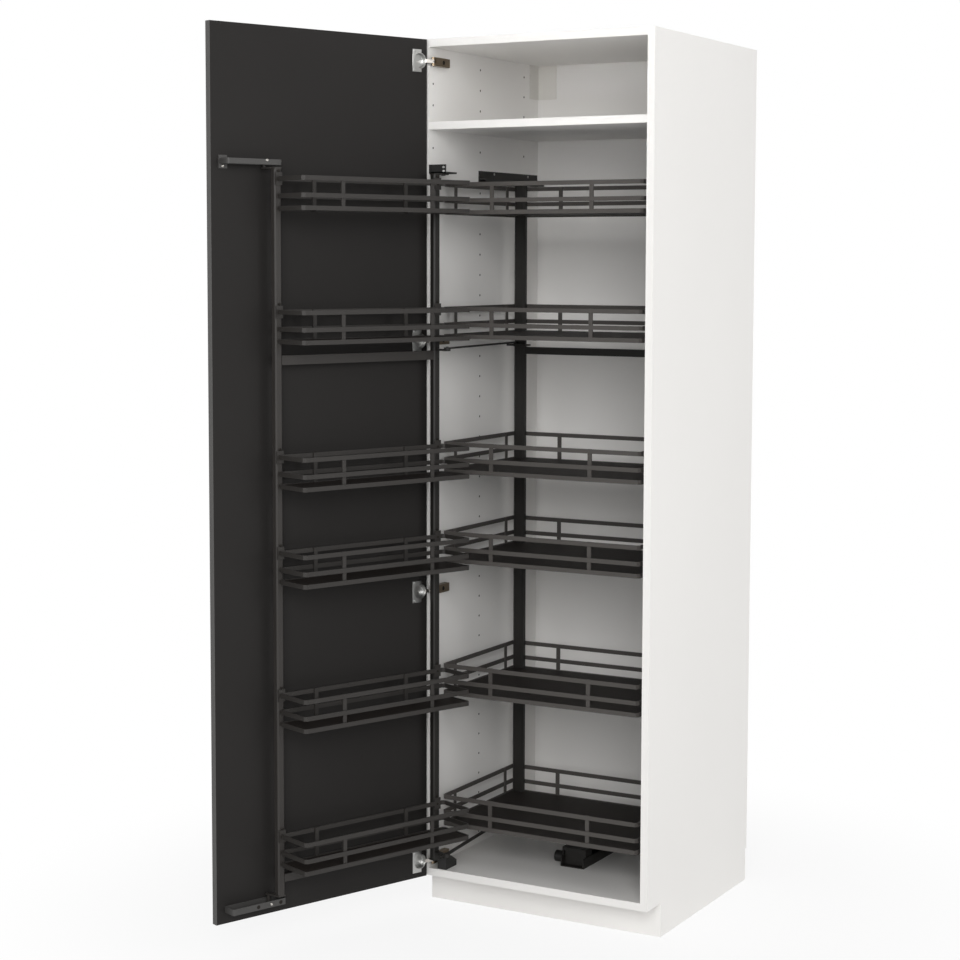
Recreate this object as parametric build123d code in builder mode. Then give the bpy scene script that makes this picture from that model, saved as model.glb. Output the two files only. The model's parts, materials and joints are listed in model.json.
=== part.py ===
from build123d import *
from math import cos, hypot, radians, sin
import os

# Tall larder cabinet: a carcase on a plinth, a side-hung door, a rack of baskets that
# swings out with the door, and a second rack of baskets that a pair of link rods draws
# forward on slides. All sizes in millimetres, Z up, the door standing fully open.

# Carcase
carcase_width = 600
carcase_depth = 600
carcase_height = 2000
panel = 18
back_thickness = 3
back_inset = 44
groove_depth = 8
groove_play = 0.2
shelf_drop = 210
shelf_setback = 2

# Plinth and legs
plinth_height = 80
plinth_thickness = 16
plinth_setback = 75
plinth_overrun = 15
plinth_side_gap = 7
leg_inset = 60
leg_radius = 15
leg_flange = 50
leg_flange_height = 6
leg_front_gap = 39
leg_rear_gap = 60
clip_half_width = 21
clip_level = 44
clip_height = 14

# Wall fixing
fixing_inset = 50
fixing_drop = 60
fixing_hole_radius = 4.25
access_hole = 24
bracket_steel = 3
bracket_height = 70
bracket_tongue = 62
cover_thickness = 1.5
cover_height = 86
cover_side = 48
cover_back = 53

# Door and its hinges
door_reveal = 1.5
door_gap = 2.5
door_thickness = 16
open_angle = 110.9
axis_inset = 6.5
axis_depth = 10
lowest_hinge_rise = 40
middle_hinge_shares = (0.3485, 0.647)
highest_hinge_drop = 52
cup_place = 21.5
cup_radius = 17.5
cup_depth = 11.5
cup_wall = 1
cup_fit = 0.1
cup_flange = 1.5
cup_flange_length = 40
cup_flange_height = 52
hinge_plate_thickness = 4
hinge_plate_wing = 40
hinge_plate_wing_width = 18
hinge_plate_length = 44
hinge_plate_height = 20
hinge_plate_place = 45
arm_reach = 17
arm_height = 20
arm_rear = 71
arm_front = 14
arm_wall = 1.5
arm_nose_radius = 4
link_pin_x = 12
link_pin_y = 2
link_pin_radius = 2
link_length = 21
link_rest_angle = -114
link_eye_radius = 3.3
link_tip_radius = 1.7
link_width = 8
fork_gap = 8.6
fork_depth = 7
running_fit = 0.05

# Rack that follows the door
rack_throw = 50.3
post_size = 18
post_wall = 1.5
post_edge = 3
post_foot = 33
post_head = 106
post_offset = 32
inner_post_place = 1
outer_post_inset = 148.5
rack_bar_depth = 14
lower_bar_rise = 29
upper_bar_share = 0.735
rack_bar_heights = (18, 21)
rack_plate = 3
pivot_eye_radius = 12
pivot_pin_radius = 5
pivot_gap = 0.3
pin_proud = 2
stud_reach = 13.5
stud_offset = 6.6
stud_radius = 4
stud_eye_radius = 6
guide_rail_inset = 164
guide_rail_length = 142
guide_rail_depth = 35
guide_rail_wall = 2
guide_rail_corner = 5
bottom_rail_rise = 9
bottom_rail_height = 14.5
top_rail_rise = 8
top_rail_height = 12
rail_flange_inset = 41
rail_flange_length = 22
rail_flange_drop = 10
rail_flange_height = 29
rail_flange_thickness = 3

# Pivots of that rack on the carcase
block_side = 7.6
block_width = 24
block_setback = 4.4
block_length = 50
block_rear_height = 14
angle_steel = 4
angle_reach = 46
angle_height = 21
angle_setback = 2
angle_length = 52

# Baskets, the same levels in both racks
basket_shares = (0.9865, 0.8071, 0.6099, 0.4783, 0.2811, 0.0839)
rail_drops = (0, 37.6, 65.3)
rail_height = 10
rail_thickness = 3
basket_corner = 6
strut_width = 10
strut_thickness = 3
strut_foot = 16
tray_height = 6
tray_play = 1.6
door_basket_start = -20
door_basket_margin = 125
door_basket_depth = 100
door_front_strut_shares = (0.237, 0.767)
door_back_strut_shares = (0.25, 0.795)
clamp_height = 28
rear_basket_side = 38
rear_basket_gap = 43
rear_basket_front = 34
rear_basket_room = 203.5
rear_strut_share = 0.5
rear_end_strut_share = 0.706

# Rear rack and its slides
rear_post_width = 30
rear_post_depth = 19.5
rear_post_edge = 5
rear_post_inset = 7
rear_post_wall = 3
rear_post_foot = 9
rear_post_head = 14.5
rear_bar_drop = 2
rear_bar_height = 18
slide_lead = 153.5
slide_end_gap = 7
slide_bracket_steel = 2
slide_bracket_rise = 4.5
slide_bracket_height = 29
slide_flange_rise = 13.5
slide_flange_reach = 22
channel_width = 18
channel_height = 9
channel_wall = 1.5
slider_play = 0.5
slider_length = 93
slider_arm = 3
runner_offset = 21
runner_width = 62
runner_lead = 221.5
runner_end_gap = 13
runner_height = 24
runner_base = 2
runner_wall = 3
carriage_length = 198.5
carriage_height = 8
glide_length = 34
glide_gap = 0.3
fork_plate = 3
fork_place = 37
fork_bottom = 6
fork_length = 24
roller_place = 15
roller_radius = 13.7
roller_width = 20
roller_side_gap = 2
axle_radius = 4
axle_proud = 1.5

# Link rods
crank_radius = 72.9
crank_rest_angle = -52
rod_rises = (10.3, 27.7)
rod_thickness = 4
rod_width = 8
rod_eye_radius = 8
rod_pin_radius = 3
rod_end_inset = 12
rod_end_lead = 16
lug_thickness = 4
lug_width = 14
lug_gap = 0.3
slot_plate_lead = 29
slot_plate_margin = 5
slot_inset = 1
slot_length = 43
slot_width = 16
slot_bias = 1.2

# Places that follow from the sizes above
left = -carcase_width / 2
right = carcase_width / 2
front = -(plinth_setback + plinth_thickness / 2)
rear = front + carcase_depth
inner_left = left + panel
inner_right = right - panel
inner_width = inner_right - inner_left
floor_top = plinth_height + panel
roof = plinth_height + carcase_height
ceiling = roof - panel
back_front = rear - back_inset - back_thickness
turn = radians(-open_angle)
along = (cos(turn), sin(turn))
off = (-sin(turn), cos(turn))
axis_x = left + door_reveal + axis_inset
axis_y = front - door_gap - axis_depth
corner_x = axis_x - axis_inset * along[0] + axis_depth * off[0]
corner_y = axis_y - axis_inset * along[1] + axis_depth * off[1]
door_width = carcase_width - 2 * door_reveal
door_height = carcase_height - 2 * door_reveal
door_bottom = plinth_height + door_reveal
pivot_x = axis_x + rack_throw * sin(radians(open_angle / 2))
pivot_y = axis_y + rack_throw * cos(radians(open_angle / 2))
shelf_underside = roof - shelf_drop
hinge_levels = (
    plinth_height + lowest_hinge_rise,
    *[plinth_height + share * carcase_height for share in middle_hinge_shares],
    roof - highest_hinge_drop,
)
post_bottom = floor_top + post_foot
post_top = shelf_underside - post_head
post_front = post_offset + post_size / 2
outer_post_place = door_width - outer_post_inset
basket_levels = [post_bottom + share * (post_top - post_bottom) for share in basket_shares]
rack_bar_levels = (post_bottom + lower_bar_rise, post_bottom + upper_bar_share * (post_top - post_bottom))
door_basket_length = door_width - door_basket_margin
rear_basket_width = carcase_width - rear_basket_side - rear_basket_gap
rear_basket_depth = carcase_depth - rear_basket_front - rear_basket_room
rear_basket_left = left + rear_basket_side
rear_basket_back = front + rear_basket_front + rear_basket_depth
rear_post_back = rear_basket_back - rail_thickness
rear_post_front = rear_post_back - rear_post_depth
rear_post_bottom = post_bottom + rear_post_foot
rear_post_top = post_top - rear_post_head
rear_left_post_x = rear_basket_left + rear_post_inset
rear_right_post_x = rear_basket_left + rear_basket_width - rear_post_inset - rear_post_width
rear_bar_levels = (rear_post_bottom, rack_bar_levels[1] - rear_bar_drop)
rod_levels = [bar + rise for bar, rise in zip(rear_bar_levels, rod_rises)]
crank_x = pivot_x + crank_radius * cos(radians(crank_rest_angle))
crank_y = pivot_y + crank_radius * sin(radians(crank_rest_angle))

os.makedirs("parts", exist_ok=True)


def save(piece, label):
    """Name a finished piece and write it to a file of that name."""
    piece.part.label = label
    export_step(piece.part, f"parts/{label}.step")


def level(z):
    """Level plane at height z."""
    return Plane.XY.offset(z)


def wall(x):
    """Upright plane parallel to the side panels at x, with Y across and Z up."""
    return Plane.YZ.offset(x)


def door_level(z):
    """Level plane at height z, x along the open door from its hinged edge, y off its inner face."""
    return Plane(origin=(corner_x, corner_y, z), x_dir=(*along, 0), z_dir=(0, 0, 1))


def door_face(offset):
    """Plane parallel to the door, looking into it, x along the door and y up."""
    origin = (corner_x + offset * off[0], corner_y + offset * off[1], 0)
    return Plane(origin=origin, x_dir=(*along, 0), z_dir=(-off[0], -off[1], 0))


def door_section(place):
    """Plane square to the door at a place along it, x off its inner face and y up."""
    origin = (corner_x + place * along[0], corner_y + place * along[1], 0)
    return Plane(origin=origin, x_dir=(*off, 0), z_dir=(*along, 0))


def door_point(x, y):
    """Where a point of the room lies along the door and off its inner face."""
    across = (x - corner_x, y - corner_y)
    place = across[0] * along[0] + across[1] * along[1]
    offset = across[0] * off[0] + across[1] * off[1]
    return place, offset


# Side panels, grooved for the back
def build_side(label, outer_x, inward):
    inner_x = outer_x + inward * panel
    with BuildPart() as side:
        with BuildSketch(level(plinth_height)):
            with Locations((outer_x + inward * panel / 2, front + carcase_depth / 2)):
                Rectangle(panel, carcase_depth)
            with Locations((inner_x - inward * groove_depth / 2, back_front + back_thickness / 2)):
                Rectangle(groove_depth, back_thickness + groove_play, mode=Mode.SUBTRACT)
        extrude(amount=carcase_height)
    save(side, label)


build_side("side_left", left, 1)
build_side("side_right", right, -1)


# Top and bottom panels between the sides, grooved for the back
def build_deck(label, underside, groove_side):
    groove_z = underside + (panel - groove_depth / 2 if groove_side > 0 else groove_depth / 2)
    with BuildPart() as deck:
        with BuildSketch(wall(inner_left)):
            with Locations((front + carcase_depth / 2, underside + panel / 2)):
                Rectangle(carcase_depth, panel)
            with Locations((back_front + back_thickness / 2, groove_z)):
                Rectangle(back_thickness + groove_play, groove_depth, mode=Mode.SUBTRACT)
        extrude(amount=inner_width)
    save(deck, label)


build_deck("bottom_panel", plinth_height, 1)
build_deck("top_panel", ceiling, -1)

# Back panel, held in the grooves, with cut-outs that reach the wall bolts
fixing_spacing = carcase_width - 2 * fixing_inset
fixing_level = roof - fixing_drop
with BuildPart() as back_panel:
    with BuildSketch(Plane.XZ.offset(-back_front)):
        with Locations((0, (floor_top + ceiling) / 2)):
            Rectangle(inner_width + 2 * groove_depth, ceiling - floor_top + 2 * groove_depth)
        with Locations((0, fixing_level)):
            with GridLocations(fixing_spacing, 0, 2, 1):
                Rectangle(access_hole, access_hole, mode=Mode.SUBTRACT)
    extrude(amount=-back_thickness)
save(back_panel, "back_panel")

# Fixed shelf across the top compartment, dowelled between the sides
with BuildPart() as fixed_shelf:
    with BuildSketch(level(shelf_underside)):
        with Locations((0, (front + shelf_setback + back_front) / 2)):
            Rectangle(inner_width, back_front - front - shelf_setback)
    extrude(amount=panel)
save(fixed_shelf, "fixed_shelf")

# Legs: a flange under the carcase on a stem
leg_front = front + plinth_setback + plinth_thickness + leg_front_gap
leg_places = [
    (x, y) for x in (left + leg_inset, right - leg_inset) for y in (leg_front, rear - leg_rear_gap)
]
with BuildPart() as legs:
    with BuildSketch(level(0)):
        with Locations(leg_places):
            Circle(leg_radius)
    extrude(amount=plinth_height - leg_flange_height)
    with BuildSketch(level(plinth_height)):
        with Locations(leg_places):
            Rectangle(leg_flange, leg_flange)
    extrude(amount=-leg_flange_height)
save(legs, "legs")

# Plinth boards, and the clips that hold the front one to the legs
plinth_back = front + plinth_setback + plinth_thickness
with BuildPart() as plinth_front:
    with BuildSketch(level(0)):
        with Locations((left - plinth_overrun, front + plinth_setback)):
            Rectangle(carcase_width + plinth_overrun, plinth_thickness, align=(Align.MIN, Align.MIN))
    extrude(amount=plinth_height)
save(plinth_front, "plinth_front")

with BuildPart() as plinth_side:
    with BuildSketch(level(0)):
        with Locations((right - plinth_thickness, plinth_back)):
            Rectangle(plinth_thickness, rear - plinth_side_gap - plinth_back, align=(Align.MIN, Align.MIN))
    extrude(amount=plinth_height)
save(plinth_side, "plinth_side")

clip_notch = leg_radius + running_fit
with BuildPart() as plinth_clips:
    with BuildSketch(level(clip_level)):
        for x in (left + leg_inset, right - leg_inset):
            with Locations((x, plinth_back)):
                Rectangle(2 * clip_half_width, leg_front_gap + clip_notch, align=(Align.CENTER, Align.MIN))
            with Locations((x, leg_front)):
                Rectangle(2 * clip_notch, 2 * clip_notch, mode=Mode.SUBTRACT)
    extrude(amount=clip_height)
save(plinth_clips, "plinth_clips")

# Angle brackets that bolt the cabinet to the wall, and the covers over their corners
with BuildPart() as suspension_brackets:
    for inner_x, inward in ((inner_left, 1), (inner_right, -1)):
        with BuildSketch(level(fixing_level - bracket_height / 2)):
            with BuildLine():
                Polyline(
                    (inner_x, back_front + back_thickness),
                    (inner_x, rear),
                    (inner_x + inward * bracket_tongue, rear),
                    (inner_x + inward * bracket_tongue, rear - bracket_steel),
                    (inner_x + inward * bracket_steel, rear - bracket_steel),
                    (inner_x + inward * bracket_steel, back_front + back_thickness),
                    close=True,
                )
            make_face()
        extrude(amount=bracket_height)
    with BuildSketch(Plane.XZ.offset(-rear)):
        with Locations((0, fixing_level)):
            with GridLocations(fixing_spacing, 0, 2, 1):
                Circle(fixing_hole_radius)
    extrude(amount=bracket_steel, mode=Mode.SUBTRACT)
save(suspension_brackets, "suspension_brackets")

with BuildPart() as suspension_covers:
    for inner_x, inward in ((inner_left, 1), (inner_right, -1)):
        with BuildSketch(level(ceiling)):
            with BuildLine():
                Polyline(
                    (inner_x, back_front),
                    (inner_x + inward * cover_back, back_front),
                    (inner_x + inward * cover_back, back_front - cover_thickness),
                    (inner_x + inward * cover_thickness, back_front - cover_thickness),
                    (inner_x + inward * cover_thickness, back_front - cover_side),
                    (inner_x, back_front - cover_side),
                    close=True,
                )
            make_face()
        extrude(amount=-cover_height)
save(suspension_covers, "suspension_covers")

# Hinge mounting plates on the left side panel
with BuildPart() as hinge_plates:
    with BuildSketch(wall(inner_left)):
        with Locations([(front + hinge_plate_place, z) for z in hinge_levels]):
            Rectangle(hinge_plate_wing_width, hinge_plate_wing)
            Rectangle(hinge_plate_length, hinge_plate_height)
    extrude(amount=hinge_plate_thickness)
save(hinge_plates, "hinge_plates")

# Hinge arms: folded channels on the plates, forked in front around a riveted link pin
arm_x = inner_left + hinge_plate_thickness
arm_cap_x = inner_left + arm_reach
link_x = inner_left + link_pin_x
link_y = front + link_pin_y
with BuildPart() as hinge_arms:
    for hinge_level in hinge_levels:
        with BuildSketch(level(hinge_level - arm_height / 2)):
            with Locations((arm_x, front + arm_front)):
                Rectangle(arm_cap_x - arm_x, arm_rear - arm_front, align=(Align.MIN, Align.MIN))
            with Locations((link_x, link_y)):
                RegularPolygon(arm_nose_radius, 8, major_radius=False)
            make_hull()
        extrude(amount=arm_height)
        with BuildSketch(level(hinge_level - fork_gap / 2)):
            with Locations((arm_x, link_y - 2 * arm_nose_radius)):
                Rectangle(arm_reach, 2 * arm_nose_radius + fork_depth, align=(Align.MIN, Align.MIN))
        extrude(amount=fork_gap, mode=Mode.SUBTRACT)
        with BuildSketch(level(hinge_level - arm_height / 2 + arm_wall)):
            with Locations((arm_x, front + arm_front)):
                Rectangle(
                    arm_cap_x - arm_x - arm_wall,
                    arm_rear - arm_front - arm_wall,
                    align=(Align.MIN, Align.MIN),
                )
        extrude(amount=arm_height - 2 * arm_wall, mode=Mode.SUBTRACT)
        with BuildSketch(level(hinge_level - fork_gap / 2)):
            with Locations((link_x, link_y)):
                Circle(link_pin_radius)
        extrude(amount=fork_gap)
save(hinge_arms, "hinge_arms")

# Hinge links: each turns on its arm's pin and reaches into the door's cup
link_tip = (
    link_x + link_length * cos(radians(link_rest_angle)),
    link_y + link_length * sin(radians(link_rest_angle)),
)
with BuildPart() as hinge_links:
    for hinge_level in hinge_levels:
        with BuildSketch(level(hinge_level - link_width / 2)):
            with Locations((link_x, link_y)):
                RegularPolygon(link_eye_radius, 8, major_radius=False)
            with Locations(link_tip):
                RegularPolygon(link_tip_radius, 8, major_radius=False)
            make_hull()
            with Locations((link_x, link_y)):
                Circle(link_pin_radius + running_fit, mode=Mode.SUBTRACT)
        extrude(amount=link_width)
save(hinge_links, "hinge_links")

# Door panel, bored for the hinge cups
cup_centres = [(cup_place, z) for z in hinge_levels]
with BuildPart() as door_panel:
    with BuildSketch(door_face(0)):
        with Locations((door_width / 2, door_bottom + door_height / 2)):
            Rectangle(door_width, door_height)
    extrude(amount=door_thickness)
    with BuildSketch(door_face(0)):
        with Locations(cup_centres):
            Circle(cup_radius)
    extrude(amount=cup_depth, mode=Mode.SUBTRACT)
save(door_panel, "door_panel")

# Hinge cups: pressed steel cups with a screw-on flange
with BuildPart() as hinge_cups:
    with BuildSketch(door_face(0)):
        with Locations([(cup_place + cup_flange_length / 2 - cup_radius, z) for z in hinge_levels]):
            Rectangle(cup_flange_length, cup_flange_height)
    extrude(amount=-cup_flange)
    with BuildSketch(door_face(0)):
        with Locations(cup_centres):
            Circle(cup_radius - cup_fit)
    extrude(amount=cup_depth)
    with BuildSketch(door_face(cup_flange)):
        with Locations(cup_centres):
            Circle(cup_radius - cup_fit - cup_wall)
    extrude(amount=cup_flange + cup_depth - cup_wall, mode=Mode.SUBTRACT)
save(hinge_cups, "hinge_cups")


# Guide rails on the door: shallow channels in which the rack's studs run
guide_rail_start = door_width - guide_rail_inset
bottom_rail_level = floor_top + bottom_rail_rise
top_rail_level = post_top + top_rail_rise


def build_guide_rail(label, underside, height, open_up):
    cavity = underside + guide_rail_wall if open_up else underside
    inside = guide_rail_length - 2 * guide_rail_wall
    with BuildPart() as guide_rail:
        with BuildSketch(door_level(underside)) as outline:
            with Locations((guide_rail_start, 0)):
                Rectangle(guide_rail_length, guide_rail_depth, align=(Align.MIN, Align.MIN))
            fillet(outline.vertices().group_by(Axis.Y)[-1], guide_rail_corner)
        extrude(amount=height)
        with BuildSketch(door_level(cavity)):
            with Locations((guide_rail_start + guide_rail_wall, guide_rail_wall)):
                Rectangle(inside, guide_rail_depth - 2 * guide_rail_wall, align=(Align.MIN, Align.MIN))
        extrude(amount=height - guide_rail_wall, mode=Mode.SUBTRACT)
        if not open_up:
            with BuildSketch(door_face(0)):
                with Locations((door_width - rail_flange_inset, underside - rail_flange_drop)):
                    Rectangle(rail_flange_length, rail_flange_height, align=(Align.MIN, Align.MIN))
            extrude(amount=-rail_flange_thickness)
    save(guide_rail, label)


build_guide_rail("bottom_guide_rail", bottom_rail_level, bottom_rail_height, True)
build_guide_rail("top_guide_rail", top_rail_level, top_rail_height, False)


# Posts of the door's rack: square tubes with broken edges
def build_rack_post(label, place):
    with BuildPart() as post:
        with BuildSketch(door_level(post_bottom)) as outline:
            with Locations((place, post_offset)):
                Rectangle(post_size, post_size)
            chamfer(outline.vertices(), post_edge)
            with Locations((place, post_offset)):
                Rectangle(post_size - 2 * post_wall, post_size - 2 * post_wall, mode=Mode.SUBTRACT)
        extrude(amount=post_top - post_bottom)
    save(post, label)


build_rack_post("inner_post", inner_post_place)
build_rack_post("outer_post", outer_post_place)

# Two cross tubes between those posts
rack_bar_start = inner_post_place + post_size / 2
rack_bar_length = outer_post_place - inner_post_place - post_size
with BuildPart() as rack_crossbars:
    for bar_level, bar_height in zip(rack_bar_levels, rack_bar_heights):
        with BuildSketch(door_section(rack_bar_start)):
            with Locations((post_offset, bar_level + bar_height / 2)):
                Rectangle(rack_bar_depth, bar_height)
                Rectangle(rack_bar_depth - 2 * post_wall, bar_height - 2 * post_wall, mode=Mode.SUBTRACT)
        extrude(amount=rack_bar_length)
save(rack_crossbars, "rack_crossbars")

# Plates on the ends of the inner post, with the eyes that turn on the pivot pins
plate_levels = (post_bottom - rack_plate, post_top)
pivot_place = door_point(pivot_x, pivot_y)
with BuildPart() as pivot_arms:
    for plate_level in plate_levels:
        with BuildSketch(door_level(plate_level)):
            with Locations((inner_post_place, post_offset)):
                Rectangle(post_size, post_size)
            with Locations(pivot_place):
                RegularPolygon(pivot_eye_radius, 8, major_radius=False)
            make_hull()
            with Locations(pivot_place):
                Circle(pivot_pin_radius + running_fit, mode=Mode.SUBTRACT)
        extrude(amount=rack_plate)
save(pivot_arms, "pivot_arms")

# Plates on the ends of the outer post, each with a riveted stud that runs in a guide rail
stud_centre = (outer_post_place + stud_reach, stud_offset)
stud_ends = (
    (post_bottom, -1, bottom_rail_level + 2 * guide_rail_wall),
    (post_top, 1, top_rail_level + top_rail_height - 2 * guide_rail_wall),
)
with BuildPart() as guide_plates:
    for seat_level, outward, stud_end in stud_ends:
        with BuildSketch(door_level(seat_level)):
            with Locations((outer_post_place, post_offset)):
                Rectangle(post_size, post_size)
            with Locations(stud_centre):
                RegularPolygon(stud_eye_radius, 8, major_radius=False)
            make_hull()
        extrude(amount=outward * rack_plate)
        with BuildSketch(door_level(seat_level)):
            with Locations(stud_centre):
                Circle(stud_radius)
        extrude(amount=stud_end - seat_level)
save(guide_plates, "guide_plates")

# Pivot block on the bottom panel: sloping at the rear, with the pin for the rack's lower eye
block_left = pivot_x - block_side
block_front = front + block_setback
block_top = post_bottom - rack_plate - pivot_gap
with BuildPart() as pivot_block:
    with BuildSketch(wall(block_left)):
        with BuildLine():
            Polyline(
                (block_front, floor_top),
                (block_front + block_length, floor_top),
                (block_front + block_length, floor_top + block_rear_height),
                (block_front + block_length / 2, block_top),
                (block_front, block_top),
                close=True,
            )
        make_face()
    extrude(amount=block_width)
    with BuildSketch(level(block_top)):
        with Locations((pivot_x, pivot_y)):
            Circle(pivot_pin_radius)
    extrude(amount=pivot_gap + rack_plate + pin_proud)
save(pivot_block, "pivot_block")

# Pivot bracket on the left side panel: an angle with the pin for the rack's upper eye
bracket_underside = post_top + rack_plate + pivot_gap
with BuildPart() as pivot_bracket:
    with BuildSketch(Plane.XZ.offset(-front - angle_setback)):
        with BuildLine():
            Polyline(
                (inner_left, bracket_underside),
                (inner_left + angle_reach, bracket_underside),
                (inner_left + angle_reach, bracket_underside + angle_steel),
                (inner_left + angle_steel, bracket_underside + angle_steel),
                (inner_left + angle_steel, bracket_underside + angle_height),
                (inner_left, bracket_underside + angle_height),
                close=True,
            )
        make_face()
    extrude(amount=-angle_length)
    with BuildSketch(level(bracket_underside)):
        with Locations((pivot_x, pivot_y)):
            Circle(pivot_pin_radius)
    extrude(amount=-pivot_gap - rack_plate - pin_proud)
save(pivot_bracket, "pivot_bracket")


# Baskets: three flat rails on upright struts whose feet turn in under the tray
basket_bottom = -rail_drops[-1] - rail_height / 2
strut_height = rail_drops[-1] + rail_height


def build_basket(label, frame, width, depth, wall_struts, end_struts, clamps):
    """Basket about the frame's origin, which lies at the middle of the top rail's height."""
    with BuildPart() as basket:
        with BuildSketch(*[frame.offset(-drop - rail_height / 2) for drop in rail_drops]) as rails:
            Rectangle(width, depth)
            chamfer(rails.vertices(), basket_corner)
            offset(amount=-rail_thickness, kind=Kind.INTERSECTION, mode=Mode.SUBTRACT)
        extrude(amount=rail_height)
        for reach, height in ((strut_thickness, strut_height), (strut_foot, strut_thickness)):
            with BuildSketch(frame.offset(basket_bottom)):
                for place, side in wall_struts:
                    with Locations((place, side * (depth / 2 - rail_thickness - reach / 2))):
                        Rectangle(strut_width, reach)
                for place, side in end_struts:
                    with Locations((side * (width / 2 - rail_thickness - reach / 2), place)):
                        Rectangle(reach, strut_width)
            extrude(amount=height)
        if clamps:
            with BuildSketch(frame.offset(-clamp_height / 2)):
                with Locations([(place, (rail_thickness - depth) / 2) for place in clamps]):
                    Rectangle(post_size, rail_thickness)
            extrude(amount=clamp_height)
    save(basket, label)


def build_trays(label, frames, width, depth, notch):
    """Flat trays lying on the strut feet, one in each basket, notched at the rear for posts."""
    inset = rail_thickness + strut_thickness + tray_play
    tray_width = width - 2 * inset
    tray_depth = depth - 2 * inset
    tray_bottom = basket_bottom + strut_thickness
    with BuildPart() as trays:
        with BuildSketch(*[frame.offset(tray_bottom) for frame in frames]):
            Rectangle(tray_width, tray_depth)
            if notch:
                with Locations((-tray_width / 2, tray_depth / 2), (tray_width / 2, tray_depth / 2)):
                    Rectangle(2 * notch[0], 2 * notch[1], mode=Mode.SUBTRACT)
        extrude(amount=tray_height)
    save(trays, label)


# Baskets and trays on the door's rack
door_basket_middle = door_basket_start + door_basket_length / 2
door_basket_offset = post_front + door_basket_depth / 2
door_frames = [
    Plane(
        origin=door_level(z).from_local_coords((door_basket_middle, door_basket_offset, 0)),
        x_dir=(*along, 0),
        z_dir=(0, 0, 1),
    )
    for z in basket_levels
]
door_struts = [((share - 0.5) * door_basket_length, 1) for share in door_front_strut_shares]
door_struts += [((share - 0.5) * door_basket_length, -1) for share in door_back_strut_shares]
door_clamps = (inner_post_place - door_basket_middle, outer_post_place - door_basket_middle)
for number, door_frame in enumerate(door_frames, start=1):
    build_basket(
        f"door_basket_{number}",
        door_frame,
        door_basket_length,
        door_basket_depth,
        door_struts,
        (),
        door_clamps,
    )
build_trays("door_trays", door_frames, door_basket_length, door_basket_depth, None)

# Baskets and trays on the rear rack
rear_frames = [
    Plane(
        origin=(rear_basket_left + rear_basket_width / 2, rear_basket_back - rear_basket_depth / 2, z),
        x_dir=(1, 0, 0),
        z_dir=(0, 0, 1),
    )
    for z in basket_levels
]
rear_strut_place = rear_strut_share * rear_basket_width / 2
rear_end_strut_place = rear_end_strut_share * rear_basket_depth / 2
rear_struts = [(half * rear_strut_place, side) for half in (-1, 1) for side in (-1, 1)]
rear_end_struts = [(half * rear_end_strut_place, side) for half in (-1, 1) for side in (-1, 1)]
for number, rear_frame in enumerate(rear_frames, start=1):
    build_basket(
        f"rear_basket_{number}",
        rear_frame,
        rear_basket_width,
        rear_basket_depth,
        rear_struts,
        rear_end_struts,
        (),
    )
rear_notch = (
    rear_post_inset + rear_post_width - rail_thickness - strut_thickness,
    rear_post_depth - strut_thickness,
)
build_trays("rear_trays", rear_frames, rear_basket_width, rear_basket_depth, rear_notch)

# Posts and cross tubes of the rear rack
def build_rear_post(label, start_x):
    middle = (start_x + rear_post_width / 2, (rear_post_front + rear_post_back) / 2)
    with BuildPart() as post:
        with BuildSketch(level(rear_post_bottom)) as outline:
            with Locations(middle):
                Rectangle(rear_post_width, rear_post_depth)
            chamfer(outline.vertices(), rear_post_edge)
            with Locations(middle):
                Rectangle(
                    rear_post_width - 2 * rear_post_wall,
                    rear_post_depth - 2 * rear_post_wall,
                    mode=Mode.SUBTRACT,
                )
        extrude(amount=rear_post_top - rear_post_bottom)
    save(post, label)


build_rear_post("rear_post_left", rear_left_post_x)
build_rear_post("rear_post_right", rear_right_post_x)

with BuildPart() as rear_crossbars:
    for bar_level in rear_bar_levels:
        with BuildSketch(wall(rear_left_post_x + rear_post_width)):
            with Locations(((rear_post_front + rear_post_back) / 2, bar_level + rear_bar_height / 2)):
                Rectangle(rear_post_depth - 2 * rear_post_edge, rear_bar_height)
                Rectangle(
                    rear_post_depth - 2 * rear_post_edge - 2 * post_wall,
                    rear_bar_height - 2 * post_wall,
                    mode=Mode.SUBTRACT,
                )
        extrude(amount=rear_right_post_x - rear_left_post_x - rear_post_width)
save(rear_crossbars, "rear_crossbars")

# Upper slide: an angle on the left side panel with a channel hung under it
slide_front = rear_post_back - slide_lead
slide_length = back_front - slide_end_gap - slide_front
slide_bracket_bottom = rear_post_top + slide_bracket_rise
slide_flange_level = rear_post_top + slide_flange_rise
with BuildPart() as top_slide_bracket:
    with BuildSketch(Plane.XZ.offset(-slide_front)):
        with BuildLine():
            Polyline(
                (inner_left, slide_bracket_bottom),
                (inner_left, slide_bracket_bottom + slide_bracket_height),
                (inner_left + slide_bracket_steel, slide_bracket_bottom + slide_bracket_height),
                (inner_left + slide_bracket_steel, slide_flange_level + slide_bracket_steel),
                (inner_left + slide_flange_reach, slide_flange_level + slide_bracket_steel),
                (inner_left + slide_flange_reach, slide_flange_level),
                (inner_left + slide_bracket_steel, slide_flange_level),
                (inner_left + slide_bracket_steel, slide_bracket_bottom),
                close=True,
            )
        make_face()
    extrude(amount=-slide_length)
save(top_slide_bracket, "top_slide_bracket")

channel_x = inner_left + slide_flange_reach - channel_width / 2
with BuildPart() as top_slide_channel:
    with BuildSketch(Plane.XZ.offset(-slide_front)):
        with Locations((channel_x, slide_flange_level)):
            Rectangle(channel_width, channel_height, align=(Align.CENTER, Align.MAX))
        with Locations((channel_x, slide_flange_level - channel_wall)):
            Rectangle(
                channel_width - 2 * channel_wall,
                channel_height - channel_wall,
                align=(Align.CENTER, Align.MAX),
                mode=Mode.SUBTRACT,
            )
    extrude(amount=-slide_length)
save(top_slide_channel, "top_slide_channel")

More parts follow.
